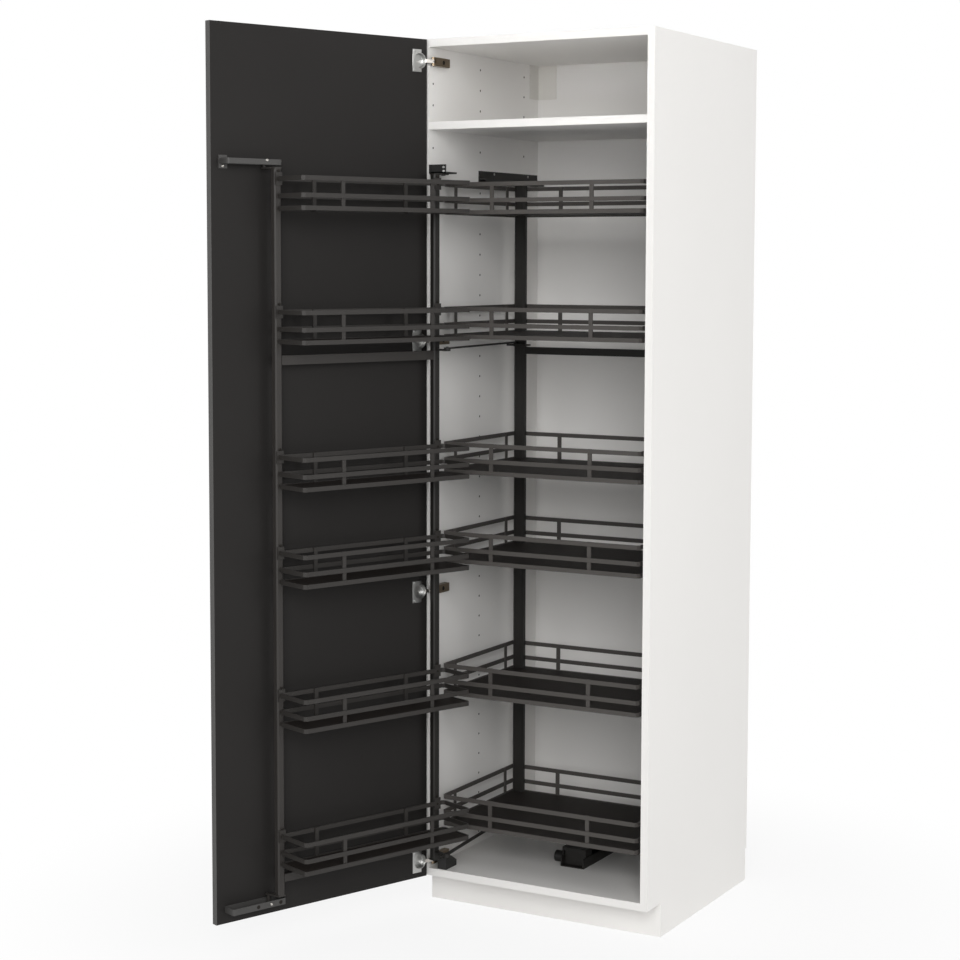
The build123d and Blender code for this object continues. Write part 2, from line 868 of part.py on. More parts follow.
# Top carriage: a slider in the channel on an arm over the left post
slider_width = channel_width - 2 * channel_wall - 2 * slider_play
slider_top = slide_flange_level - channel_wall - slider_play
with BuildPart() as top_carriage:
    with BuildSketch(level(rear_post_top)):
        with Locations((channel_x - slider_width / 2, rear_post_back)):
            Rectangle(slider_width, slider_length, align=(Align.MIN, Align.MAX))
            Rectangle(
                rear_left_post_x + rear_post_width - channel_x + slider_width / 2,
                rear_post_depth,
                align=(Align.MIN, Align.MAX),
            )
    extrude(amount=slider_arm)
    with BuildSketch(level(rear_post_top + slider_arm)):
        with Locations((channel_x, rear_post_back)):
            Rectangle(slider_width, slider_length, align=(Align.CENTER, Align.MAX))
    extrude(amount=slider_top - rear_post_top - slider_arm)
save(top_carriage, "top_carriage")

# Floor runner: an open channel on the bottom panel
runner_front = rear_post_back - runner_lead
with BuildPart() as bottom_runner:
    with BuildSketch(Plane.XZ.offset(-runner_front)):
        with Locations((runner_offset, floor_top)):
            Rectangle(runner_width, runner_height, align=(Align.CENTER, Align.MIN))
        with Locations((runner_offset, floor_top + runner_base)):
            Rectangle(
                runner_width - 2 * runner_wall,
                runner_height,
                align=(Align.CENTER, Align.MIN),
                mode=Mode.SUBTRACT,
            )
    extrude(amount=runner_front - back_front + runner_end_gap)
save(bottom_runner, "bottom_runner")

# Bottom carriage: a plate under the lower cross tube with two glides in the runner,
# and beside the runner a hanging side plate for the roller
carriage_width = runner_width - 2 * runner_wall - 2 * slider_play
carriage_underside = rear_post_bottom - carriage_height
carriage_back = rear_post_back - rear_post_edge
carriage_front = carriage_back - carriage_length
glide_foot = floor_top + runner_base + glide_gap
axle_level = floor_top + glide_gap + roller_radius
axle_y = carriage_front + roller_place
fork_x = runner_offset - fork_place
with BuildPart() as bottom_carriage:
    with BuildSketch(level(carriage_underside)):
        with Locations((runner_offset, carriage_back)):
            Rectangle(carriage_width, carriage_length, align=(Align.CENTER, Align.MAX))
        with Locations((fork_x, axle_y)):
            Rectangle(fork_place, fork_length, align=(Align.MIN, Align.CENTER))
    extrude(amount=carriage_height)
    with BuildSketch(level(glide_foot)):
        with Locations((runner_offset, carriage_front)):
            Rectangle(carriage_width, glide_length, align=(Align.CENTER, Align.MIN))
        with Locations((runner_offset, carriage_back)):
            Rectangle(carriage_width, glide_length, align=(Align.CENTER, Align.MAX))
    extrude(amount=carriage_underside - glide_foot)
    with BuildSketch(wall(fork_x)):
        with Locations((axle_y, floor_top + fork_bottom)):
            Rectangle(
                fork_length, carriage_underside - floor_top - fork_bottom, align=(Align.CENTER, Align.MIN)
            )
        with Locations((axle_y, axle_level)):
            Circle(axle_radius + running_fit, mode=Mode.SUBTRACT)
    extrude(amount=fork_plate)
save(bottom_carriage, "bottom_carriage")

# Roller turned in one with its axle, running on the bottom panel
with BuildPart() as carriage_roller:
    with BuildSketch(wall(fork_x - roller_side_gap)):
        with Locations((axle_y, axle_level)):
            Circle(roller_radius)
    extrude(amount=-roller_width)
    with BuildSketch(wall(fork_x - roller_side_gap)):
        with Locations((axle_y, axle_level)):
            Circle(axle_radius)
    extrude(amount=roller_side_gap + fork_plate + axle_proud)
save(carriage_roller, "carriage_roller")

# Crank lugs on the inner post, each with a riveted pin for a rod's front eye
crank_place = door_point(crank_x, crank_y)
with BuildPart() as crank_lugs:
    for rod_level in rod_levels:
        with BuildSketch(door_level(rod_level - lug_gap)):
            with Locations((inner_post_place, post_front)):
                Rectangle(lug_width, lug_thickness, align=(Align.CENTER, Align.MIN))
            with Locations(crank_place):
                RegularPolygon(lug_width / 2, 8, major_radius=False)
            make_hull()
        extrude(amount=-lug_thickness)
        with BuildSketch(door_level(rod_level - lug_gap)):
            with Locations(crank_place):
                Circle(rod_pin_radius)
        extrude(amount=lug_gap + rod_thickness + pin_proud)
save(crank_lugs, "crank_lugs")

# Link rods: flat bars with an eye on the crank pin and a down-turned pin at the rear
rod_end = (rear_left_post_x + rod_end_inset, rear_post_front - rod_end_lead)
rod_run = (rod_end[0] - crank_x, rod_end[1] - crank_y)
rod_length = hypot(*rod_run)
rod_planes = [
    Plane(origin=(crank_x, crank_y, rod_level), x_dir=(*rod_run, 0), z_dir=(0, 0, 1))
    for rod_level in rod_levels
]
with BuildPart() as link_rods:
    with BuildSketch(*rod_planes):
        with Locations((0, 0)):
            Rectangle(rod_length + rod_width / 2, rod_width, align=(Align.MIN, Align.CENTER))
            RegularPolygon(rod_eye_radius, 8, major_radius=False)
            Circle(rod_pin_radius + running_fit, mode=Mode.SUBTRACT)
    extrude(amount=rod_thickness)
    with BuildSketch(*rod_planes):
        with Locations((rod_length, 0)):
            Circle(rod_pin_radius)
    extrude(amount=-2 * lug_thickness)
save(link_rods, "link_rods")

# Link plates on the rear rack, each with a cross slot for a rod's rear pin
slot_middle = (rear_left_post_x + slot_inset + slot_length / 2, rod_end[1] + slot_bias)
with BuildPart() as link_plates:
    for rod_level in rod_levels:
        with BuildSketch(level(rod_level - lug_gap - pin_proud - lug_thickness)):
            with Locations((rear_left_post_x + slot_inset - slot_plate_margin, rear_post_front)):
                Rectangle(
                    slot_length + 2 * slot_plate_margin, slot_plate_lead, align=(Align.MIN, Align.MAX)
                )
            with Locations(slot_middle):
                Rectangle(slot_length, slot_width, mode=Mode.SUBTRACT)
        extrude(amount=lug_thickness)
save(link_plates, "link_plates")
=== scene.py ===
import json
import math

import bpy
import numpy as np
from mathutils import Matrix, Vector


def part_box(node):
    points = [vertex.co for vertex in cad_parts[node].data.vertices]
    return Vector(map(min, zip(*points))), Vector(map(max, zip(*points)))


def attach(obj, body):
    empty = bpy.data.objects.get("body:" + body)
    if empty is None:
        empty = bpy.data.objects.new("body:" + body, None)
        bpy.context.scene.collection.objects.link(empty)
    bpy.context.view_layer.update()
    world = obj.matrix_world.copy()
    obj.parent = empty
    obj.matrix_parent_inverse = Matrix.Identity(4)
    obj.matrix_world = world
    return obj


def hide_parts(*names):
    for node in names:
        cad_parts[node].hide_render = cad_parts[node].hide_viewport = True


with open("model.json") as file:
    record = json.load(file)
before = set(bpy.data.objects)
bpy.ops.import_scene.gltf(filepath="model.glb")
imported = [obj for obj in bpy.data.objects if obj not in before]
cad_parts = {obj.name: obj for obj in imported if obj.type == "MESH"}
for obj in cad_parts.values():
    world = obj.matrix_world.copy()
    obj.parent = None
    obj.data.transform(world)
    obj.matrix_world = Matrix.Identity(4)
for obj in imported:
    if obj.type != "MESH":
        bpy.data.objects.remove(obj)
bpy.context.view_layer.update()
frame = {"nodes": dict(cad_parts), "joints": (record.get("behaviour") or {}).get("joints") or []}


# Carcase boards: chipboard faced with smooth white melamine foil, glued and dowelled into a
# box on a plinth of the same board. The foil has a faint orange-peel skin and hardly any
# colour of its own.
class Signal:
    """One output of a finish's node tree; arithmetic on it adds Math nodes."""

    def __init__(self, finish, socket):
        self.finish = finish
        self.socket = socket

    def maths(self, operation, first, second):
        """A Math node on two signals or numbers."""
        node = self.finish.node("ShaderNodeMath", {"operation": operation}, {0: first, 1: second})
        return Signal(self.finish, node.outputs[0])

    def __add__(self, other):
        return self.maths("ADD", self, other)

    def __radd__(self, other):
        return self.maths("ADD", other, self)

    def __mul__(self, other):
        return self.maths("MULTIPLY", self, other)

    def __rmul__(self, other):
        return self.maths("MULTIPLY", other, self)

    def __gt__(self, other):
        return self.maths("GREATER_THAN", self, other)


class Finish:
    """A surface finish: one material whose node tree ends in a Principled shader."""

    def __init__(self, name, **constants):
        self.material = bpy.data.materials.new(name)
        self.material.use_nodes = True
        self.tree = self.material.node_tree
        self.shader = next(n for n in self.tree.nodes if n.type == "BSDF_PRINCIPLED")
        self.place = Signal(self, self.node("ShaderNodeTexCoord").outputs["Object"])
        for socket, value in constants.items():
            self.shader.inputs[socket.replace("_", " ")].default_value = value

    def node(self, kind, settings=None, sockets=None):
        """Any node: its settings are set first, then its sockets get values or links."""
        made = self.tree.nodes.new(kind)
        for name, value in (settings or {}).items():
            setattr(made, name, value)
        for name, value in (sockets or {}).items():
            self.feed(made.inputs[name], value)
        return made

    def feed(self, socket, value):
        """Links a signal to a socket, or sets a plain value on it."""
        if isinstance(value, Signal):
            self.tree.links.new(value.socket, socket)
        else:
            socket.default_value = value

    def noise(self, per_metre, detail=2.0, roughness=0.5):
        """Cloudy noise from 0 to 1 with that many blobs to the metre."""
        sockets = {"Vector": self.place, "Scale": per_metre, "Detail": detail, "Roughness": roughness}
        return Signal(self, self.node("ShaderNodeTexNoise", {}, sockets).outputs[0])

    def between(self, share, low, high):
        """A colour on the way from low to high, which may themselves vary."""
        low = low if isinstance(low, Signal) else (*low, 1)
        high = high if isinstance(high, Signal) else (*high, 1)
        node = self.node("ShaderNodeMix", {"data_type": "RGBA"}, {0: share, 6: low, 7: high})
        return Signal(self, node.outputs[2])

    def relief(self, height, depth):
        """Surface normals bent by a height map, with depth in metres."""
        bump = self.node("ShaderNodeBump", {}, {"Height": height, "Distance": depth, "Strength": 1.0})
        return Signal(self, bump.outputs[0])

    def wear(self, **varying):
        """Feeds the shader with what changes over the surface."""
        for socket, signal in varying.items():
            self.feed(self.shader.inputs[socket.replace("_", " ")], signal)
        return self

    def cover(self, *nodes):
        """Puts the finish on CAD nodes or new pieces."""
        for node in nodes:
            mesh = frame["nodes"][node].data if isinstance(node, str) else node.data
            mesh.materials.clear()
            mesh.materials.append(self.material)


def melamine(name, colour, shade):
    """White foil: clouds of two near tones under a fine peel that bends the gloss."""
    finish = Finish(name, Specular_IOR_Level=0.4)
    clouds = finish.noise(2.5, detail=3)
    peel = finish.noise(420, detail=2)
    return finish.wear(
        Base_Color=finish.between(clouds, shade, colour),
        Roughness=0.36 + 0.12 * peel,
        Normal=finish.relief(peel, 0.00003),
    )


board_white = (0.856, 0.842, 0.820)
board_shade = (0.826, 0.812, 0.790)
melamine("white melamine board", board_white, board_shade).cover(
    "side_left", "side_right", "top_panel", "bottom_panel", "fixed_shelf"
)
melamine("white melamine plinth", board_white, board_shade).cover("plinth_front", "plinth_side")


# Back panel: thin fibreboard painted white on its inner face, slid into the grooves of the
# boards. The paint shows the faint felted texture of the fibres.
back_finish = Finish("painted fibreboard", Specular_IOR_Level=0.3)
felt = back_finish.noise(260, detail=5, roughness=0.7)
back_finish.wear(
    Base_Color=back_finish.between(back_finish.noise(3.0), (0.795, 0.782, 0.762), (0.835, 0.822, 0.802)),
    Roughness=0.5 + 0.15 * felt,
    Normal=back_finish.relief(felt, 0.00006),
).cover("back_panel")


# Corner covers over the wall brackets: thin white moulded plastic clipped into the upper
# rear corners, a shade yellower than the boards.
cover_finish = Finish("white moulded cover", Specular_IOR_Level=0.45)
cover_grain = cover_finish.noise(900, detail=2)
cover_finish.wear(
    Base_Color=cover_finish.between(cover_finish.noise(6), (0.70, 0.685, 0.645), (0.74, 0.725, 0.685)),
    Roughness=0.4 + 0.15 * cover_grain,
    Normal=cover_finish.relief(cover_grain, 0.00003),
).cover("suspension_covers")


# Shelf-pin holes: three columns of blind holes drilled in both side panels at an even pitch, 5 mm across,
# drawn as flat discs: the dark middle is painted shade for the bore, the grey ring painted shade on the
# foil's thin broken edge.
def turned(name, centres, outward, across, profile, steps=20):
    """Turned pieces: each (radius, height) of the profile goes round every centre in even steps.

    A point is centre + radius * (cos a * across + sin a * upright) + height * outward, and
    the innermost ring is closed by one many-sided face.
    """
    centres = np.asarray(centres, float).reshape(-1, 3)
    outward = np.broadcast_to(np.asarray(outward, float), centres.shape)
    across = np.broadcast_to(np.asarray(across, float), centres.shape)
    upright = np.cross(outward, across)
    radius, height = np.asarray(profile, float).T
    angle = np.linspace(0, 2 * np.pi, steps, endpoint=False)
    sideways = np.cos(angle)[None, :, None] * across[:, None, :]
    spoke = sideways + np.sin(angle)[None, :, None] * upright[:, None, :]
    points = (
        centres[:, None, None, :]
        + radius[None, :, None, None] * spoke[:, None, :, :]
        + height[None, :, None, None] * outward[:, None, None, :]
    )
    rings = len(radius)
    index = np.arange(len(centres) * rings * steps).reshape(len(centres), rings, steps)
    inner, outer = index[:, :-1], index[:, 1:]
    quads = np.stack([inner, outer, np.roll(outer, -1, 2), np.roll(inner, -1, 2)], -1).reshape(-1, 4)
    mesh = bpy.data.meshes.new(name)
    mesh.from_pydata(points.reshape(-1, 3), [], quads.tolist() + index[:, 0].tolist())
    mesh.validate()
    ring_share = np.broadcast_to(np.linspace(0, 1, rings)[None, :, None], index.shape).ravel()
    from_middle = mesh.attributes.new("from_middle", "FLOAT", "POINT")
    from_middle.data.foreach_set("value", ring_share.astype(np.float32))
    mesh.polygons.foreach_set("use_smooth", np.ones(len(mesh.polygons), bool))
    piece = bpy.data.objects.new(name, mesh)
    bpy.context.scene.collection.objects.link(piece)
    return piece


side_low, side_high = (np.array(corner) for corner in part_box("side_left"))
right_low = np.array(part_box("side_right")[0])
hole_pitch = 0.050
hole_first = 0.128
hole_count = 39
hole_radius = 0.0025
hole_edge = 0.0004
hole_columns = (0.0217, 0.2486, 0.4752)
shelf_low, shelf_high = (np.array(corner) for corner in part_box("fixed_shelf"))
hole_heights = hole_first + hole_pitch * np.arange(hole_count)
below_shelf = hole_heights < shelf_low[2] - hole_radius
above_shelf = hole_heights > shelf_high[2] + hole_radius
hole_heights = hole_heights[below_shelf | above_shelf]
column_grid, height_grid = np.meshgrid(side_low[1] + np.array(hole_columns), hole_heights)
hole_profile = [
    (0.0012, 0.00004),
    (hole_radius, 0.00006),
    (hole_radius + hole_edge / 2, 0.00018),
    (hole_radius + hole_edge, 0),
]

hole_finish = Finish("drilled hole", Specular_IOR_Level=0.2, Roughness=0.7)
ring_attribute = hole_finish.node("ShaderNodeAttribute", {"attribute_name": "from_middle"})
rim = Signal(hole_finish, ring_attribute.outputs["Fac"])
crumbs = hole_finish.noise(2600, detail=3)
# Painted shade: a dark disc stands for the shadowed bore, and a grey ring for the shade on its broken
# edge.
painted_bore_shade = hole_finish.between(crumbs, (0.028, 0.025, 0.022), (0.060, 0.055, 0.050))
hole_finish.wear(Base_Color=hole_finish.between(rim > 0.5, painted_bore_shade, (0.62, 0.61, 0.59)))
for label, face_x, outward_x in (("holes_left", side_high[0], 1), ("holes_right", right_low[0], -1)):
    hole_centres = np.stack(
        [np.full(column_grid.size, face_x), column_grid.ravel(), height_grid.ravel()], -1
    )
    holes = turned(label, hole_centres, (outward_x, 0, 0), (0, 1, 0), hole_profile, steps=12)
    hole_finish.cover(holes)
    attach(holes, "carcase")


# Legs and plinth clips: black moulded plastic, the legs screwed under the bottom board and
# the clips snapped round the front pair to hold the plinth.
leg_finish = Finish("black moulded leg", Specular_IOR_Level=0.35)
leg_grain = leg_finish.noise(1100, detail=2)
leg_finish.wear(
    Base_Color=leg_finish.between(leg_finish.noise(14), (0.014, 0.014, 0.014), (0.024, 0.024, 0.023)),
    Roughness=0.45 + 0.2 * leg_grain,
    Normal=leg_finish.relief(leg_grain, 0.00006),
).cover("legs", "plinth_clips")


# Door: fibreboard wrapped in matt anthracite foil, coloured much paler at its free edge: the edge face and
# the last 0.8 mm of the faces.
# The foil has a very fine even grain that scatters the light and a slight unevenness of tone.
open_angle = math.radians(next(j for j in frame["joints"] if j["name"] == "door_hinge")["range_deg"][1])
along = np.array([math.cos(open_angle), -math.sin(open_angle), 0])
off = np.array([math.sin(open_angle), math.cos(open_angle), 0])
upward = np.array([0, 0, 1.0])


def points_of(node):
    """The corners of a CAD node's mesh, one row each."""
    points = np.empty(3 * len(frame["nodes"][node].data.vertices))
    frame["nodes"][node].data.vertices.foreach_get("co", points)
    return points.reshape(-1, 3)


door_points = points_of("door_panel")
hinged_edge = along * (door_points @ along).min() + off * (door_points @ off).max()
door_width = np.ptp(door_points @ along)
band_thickness = 0.0008
door_finish = Finish("anthracite door foil", Specular_IOR_Level=0.12)
reach_along = door_finish.node(
    "ShaderNodeVectorMath",
    {"operation": "DOT_PRODUCT"},
    {0: door_finish.place, 1: along},
)
band_start = (door_points @ along).max() - band_thickness
on_band = Signal(door_finish, reach_along.outputs["Value"]) > band_start
door_grain = door_finish.noise(700, detail=3, roughness=0.6)
door_cloud = door_finish.noise(3.0, detail=3)
door_finish.wear(
    Base_Color=door_finish.between(
        on_band,
        door_finish.between(door_cloud, (0.0170, 0.0158, 0.0150), (0.0210, 0.0196, 0.0187)),
        (0.105, 0.103, 0.100),
    ),
    Roughness=0.5 + 0.12 * door_grain,
    Normal=door_finish.relief(door_grain, 0.00004),
).cover("door_panel")


# Hinge cups: steel stampings, zinc plated, pressed into bores of the door. A narrow plate for
# two screws lies beside each cup, on the side away from the door's hinged edge.
def brushed(name, dark, light, roughness, grain_scale):
    """Bare or plated metal: smudges of two tones under a fine grain in the gloss."""
    finish = Finish(name, Metallic=1.0)
    grain = finish.noise(grain_scale, detail=4, roughness=0.7)
    smudge = finish.noise(40, detail=3)
    return finish.wear(
        Base_Color=finish.between(smudge, dark, light),
        Roughness=roughness + 0.16 * grain,
        Normal=finish.relief(grain, 0.00001),
    )


zinc = brushed("zinc plated steel", (0.42, 0.42, 0.41), (0.50, 0.50, 0.49), 0.26, 900)
zinc.cover("suspension_brackets", "hinge_plates", "hinge_cups")


def on_door(places, offset, heights):
    """Points of the open door: along it from its hinged edge, off its inner face, and up."""
    places, heights = (grid.ravel() for grid in np.broadcast_arrays(places, heights))
    return hinged_edge + places[:, None] * along + offset * off + heights[:, None] * upward


def cup_stampings(name, centres, rim, plate_near, plate_far, plate_half, rings):
    """Cups with a screw plate: rings of (radius, spread, height) round every centre.

    A point is centre + (radius + spread * outline) * (cos a * along + sin a * upward) +
    height * off. The outline at an angle is the greater of the rim's radius and the way from
    the middle to the plate's edge, with the plate's corners among the angles.
    """
    meeting = math.sqrt(rim**2 - plate_near**2)
    corners = [(plate_far, plate_half), (-plate_near, plate_half), (-plate_near, meeting)]
    corner_angles = [math.atan2(sign * high, wide) for wide, high in corners for sign in (-1, 1)]
    steps = 48
    angle = np.union1d(np.linspace(-np.pi, np.pi, steps, endpoint=False), corner_angles)
    least = 1e-9
    to_side = np.where(np.cos(angle) > 0, plate_far, plate_near) / np.maximum(np.abs(np.cos(angle)), least)
    to_end = plate_half / np.maximum(np.abs(np.sin(angle)), least)
    outline = np.maximum(np.minimum(to_side, to_end), rim)
    radius, spread, height = np.asarray(rings, float).T
    reach = radius[:, None] + spread[:, None] * outline[None, :]
    spoke = np.cos(angle)[:, None] * along + np.sin(angle)[:, None] * upward
    stamping = reach[..., None] * spoke[None] + height[:, None, None] * off
    points = np.asarray(centres)[:, None, None, :] + stamping[None]
    index = np.arange(points[..., 0].size).reshape(points.shape[:3])
    inner, outer = index[:, :-1], index[:, 1:]
    quads = np.stack([inner, np.roll(inner, -1, 2), np.roll(outer, -1, 2), outer], -1).reshape(-1, 4)
    ends = index[:, 0, ::-1].tolist() + index[:, -1].tolist()
    mesh = bpy.data.meshes.new(name)
    mesh.from_pydata(points.reshape(-1, 3), [], quads.tolist() + ends)
    mesh.validate()
    piece = bpy.data.objects.new(name, mesh)
    bpy.context.scene.collection.objects.link(piece)
    return piece


arm_levels = np.sort(points_of("hinge_arms")[:, 2])
least_hinge_pitch = 0.1
arm_groups = np.split(arm_levels, np.flatnonzero(np.diff(arm_levels) > least_hinge_pitch) + 1)
hinge_heights = np.array([(group[0] + group[-1]) / 2 for group in arm_groups])
hinge_count = len(hinge_heights)
cup_inset = 0.0215
cup_radius = 0.0174
cup_mouth = 0.0165
cup_rim = 0.0186
cup_depth = 0.0114
cup_steel = 0.001
cup_plate = 0.0015
cup_plate_near = 0.0045
cup_plate_far = 0.0215
cup_plate_half = 0.026
cup_fold = 0.0004
cup_middle = 0.002
cup_rings = [
    (cup_middle, 0, cup_steel - cup_depth),
    (cup_mouth - cup_steel, 0, cup_steel - cup_depth),
    (cup_mouth, 0, 2 * cup_steel - cup_depth),
    (cup_mouth, 0, cup_plate - cup_fold),
    (cup_mouth + cup_fold, 0, cup_plate),
    (-cup_fold, 1, cup_plate),
    (0, 1, cup_plate - cup_fold),
    (0, 1, 0),
    (cup_radius, 0, 0),
    (cup_radius, 0, -cup_depth),
    (cup_middle, 0, -cup_depth),
]
cup_stamping = cup_stampings(
    "hinge_cup_stampings",
    on_door(cup_inset, 0, hinge_heights),
    cup_rim,
    cup_plate_near,
    cup_plate_far,
    cup_plate_half,
    cup_rings,
)
zinc.cover(cup_stamping)
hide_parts("hinge_cups")
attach(cup_stamping, "door")


# Screws: small pan heads with a sunk middle, zinc plated and driven into the boards. Those of
# the hinge cups are made here, and later sections turn theirs from the same outline.
def door_span(node):
    """Least and greatest place along the door, offset off it and height of a CAD node."""
    points = points_of(node) - hinged_edge
    local = np.stack([points @ along, points @ off, points @ upward], -1)
    return local.min(0), local.max(0)


def pan_profile(radius, height):
    """Half outline of a pan head: a recessed middle, a flat crown and a rounded shoulder."""
    return [
        (0.12 * radius, 0.35 * height),
        (0.30 * radius, 0.45 * height),
        (0.36 * radius, 0.98 * height),
        (0.62 * radius, height),
        (0.86 * radius, 0.80 * height),
        (0.97 * radius, 0.45 * height),
        (radius, 0),
    ]


def screws(name, body, centres, outward, across, radius, height, finish):
    """Screw heads at the centres: turned pan heads that ride on a body."""
    heads = turned(name, centres, outward, across, pan_profile(radius, height), steps=14)
    finish.cover(heads)
    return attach(heads, body)


cup_screw_inset = 0.0375
cup_screw_spread = 0.0215
cup_screw_radius = 0.0034
cup_screw_rise = 0.0006
cup_screw_heights = np.concatenate([hinge_heights - cup_screw_spread, hinge_heights + cup_screw_spread])
cup_screw_centres = on_door(cup_screw_inset, cup_plate, cup_screw_heights)
screws("cup_screws", "door", cup_screw_centres, off, along, cup_screw_radius, cup_screw_rise, zinc)


# Hinge arms and links: the arm is folded steel plated in a brown bronze nickel, with a cam
# screw for adjusting the door, and the links are bright nickel.
bronze = brushed("bronze nickel steel", (0.20, 0.155, 0.105), (0.30, 0.235, 0.165), 0.30, 1400)
bronze.cover("hinge_arms")
nickel = brushed("bright nickel steel", (0.40, 0.38, 0.355), (0.50, 0.475, 0.445), 0.20, 700)
nickel.cover("hinge_links")
arm_low, arm_high = (np.array(corner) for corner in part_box("hinge_arms"))
cam_setback = 0.045
cam_radius = 0.0052
cam_rise = 0.0008
cam_places = np.full(hinge_count, arm_low[1] + cam_setback)
cam_centres = np.stack([np.full(hinge_count, arm_high[0]), cam_places, hinge_heights], -1)
burnished = brushed("burnished steel", (0.020, 0.018, 0.016), (0.040, 0.036, 0.032), 0.40, 900)
screws("cam_screws", "carcase", cam_centres, (1, 0, 0), (0, 1, 0), cam_radius, cam_rise, burnished)


# Hinge mounting plates: straight strips of zinc-plated steel screwed to the left side, each
# hidden under the arm that clips over it.
def slabs(name, middles, across, upright, half, thickness, edge):
    """Flat plates with broken edges: four corners go through rings of (inset, height).

    A point is middle + sign * (half width - inset) * across + sign * (half height - inset) *
    upright + height * outward, and the first and last rings are closed by one face each.
    """
    outward = np.cross(across, upright)
    inset = np.array([edge, 0, 0, edge])
    height = np.array([0, edge, thickness - edge, thickness])
    signs = np.array([(-1, -1), (1, -1), (1, 1), (-1, 1)])
    reach = signs[None] * (np.asarray(half)[None, None] - inset[:, None, None])
    plate = (
        reach[..., :1] * np.asarray(across, float)
        + reach[..., 1:] * np.asarray(upright, float)
        + height[:, None, None] * outward
    )
    points = np.asarray(middles, float).reshape(-1, 1, 1, 3) + plate
    index = np.arange(points[..., 0].size).reshape(points.shape[:3])
    inner, outer = index[:, :-1], index[:, 1:]
    quads = np.stack([inner, np.roll(inner, -1, 2), np.roll(outer, -1, 2), outer], -1).reshape(-1, 4)
    ends = index[:, 0, ::-1].tolist() + index[:, -1].tolist()
    mesh = bpy.data.meshes.new(name)
    mesh.from_pydata(points.reshape(-1, 3), [], quads.tolist() + ends)
    mesh.validate()
    piece = bpy.data.objects.new(name, mesh)
    bpy.context.scene.collection.objects.link(piece)
    return piece


plate_low, plate_high = (np.array(corner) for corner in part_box("hinge_plates"))
strip_height = 0.019
strip_edge = 0.0005
strip_half = np.array([plate_high[1] - plate_low[1], strip_height]) / 2
strip_places = np.full(hinge_count, plate_low[1] + strip_half[0])
strip_middles = np.stack([np.full(hinge_count, plate_low[0]), strip_places, hinge_heights], -1)
strip_thickness = plate_high[0] - plate_low[0]
strips = slabs(
    "hinge_plate_strips", strip_middles, (0, 1, 0), (0, 0, 1), strip_half, strip_thickness, strip_edge
)
zinc.cover(strips)
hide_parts("hinge_plates")
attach(strips, "carcase")


# Basket rails: flat steel bent round the corners and welded to upright struts, powder coated in a warm
# grey with a fine sandy skin.
# Lit and shaded copies of the one coat: the door's baskets take a darker copy as painted shade, the rear
# ones a paler copy as painted light.
def powder_coat(name, dark, light, roughness):
    """Baked powder: sand-fine bumps over slow clouds of two near tones."""
    finish = Finish(name, Specular_IOR_Level=0.26)
    sand = finish.noise(1500, detail=2)
    cloud = finish.noise(9, detail=3)
    return finish.wear(
        Base_Color=finish.between(cloud * 0.6 + sand * 0.4, dark, light),
        Roughness=roughness + 0.18 * sand,
        Normal=finish.relief(sand, 0.00008),
    )


basket_numbers = range(1, 7)
# Painted shade on the door's baskets, painted light and sheen on the rear ones: two copies of the same
# coat.
shaded_rail_coat = powder_coat("warm dark powder coat", (0.022, 0.0199, 0.0182), (0.036, 0.0331, 0.0306), 0.36)
shaded_rail_coat.cover(*[f"door_basket_{number}" for number in basket_numbers])
lit_rail_coat = powder_coat("warm grey powder coat", (0.050, 0.0455, 0.0418), (0.082, 0.0758, 0.0704), 0.36)
lit_rail_coat.cover(*[f"rear_basket_{number}" for number in basket_numbers])


# Posts, cross tubes, arms and carriages: steel tube and plate, welded or riveted together and powder
# coated almost black.
# The door rack has lit and shaded copies: its inner post takes the darker coat as painted shade, its outer
# post, cross tubes and guide plates a greyer copy as painted light.
# Besides the parts coated almost black, the door rack's inner post takes this darker coat as painted
# shade, since it stands in shadow.
post_coat = powder_coat("black brown powder coat", (0.012, 0.0112, 0.0100), (0.024, 0.0225, 0.0205), 0.36)
post_coat.cover(
    "inner_post",
    "pivot_arms",
    "crank_lugs",
    "rear_post_left",
    "rear_post_right",
    "rear_crossbars",
    "top_carriage",
    "bottom_carriage",
    "link_plates",
    "link_rods",
    "top_slide_bracket",
    "bottom_runner",
)
# Painted light: a greyer copy of the same coat for the door rack's parts that stand in the light.
lit_rack_coat = powder_coat("dark grey powder coat", (0.026, 0.0236, 0.0216), (0.040, 0.0365, 0.0338), 0.36)
lit_rack_coat.cover("outer_post", "rack_crossbars", "guide_plates")


# Clamp screws: two burnished steel pan heads in every clamp that holds a basket's rear rail
# to a post of the door's rack.
rail_steel = 0.003
clamp_drop = 0.006
clamp_screw_spread = 0.009
clamp_screw_radius = 0.0030
clamp_screw_rise = 0.0012
post_spans = [door_span(post) for post in ("inner_post", "outer_post")]
clamp_places = [np.mean([low[0], high[0]]) for low, high in post_spans]
clamp_levels = [door_span(f"door_basket_{number}")[1][2] - clamp_drop for number in basket_numbers]
clamp_pairs = np.add.outer(clamp_levels, (-clamp_screw_spread, clamp_screw_spread))
clamp_grid = np.meshgrid(clamp_places, clamp_pairs)
clamp_offset = door_span("door_basket_1")[0][1] + rail_steel
clamp_centres = on_door(clamp_grid[0], clamp_offset, clamp_grid[1])
screws(
    "clamp_screws", "door_rack", clamp_centres, off, along, clamp_screw_radius, clamp_screw_rise, burnished
)


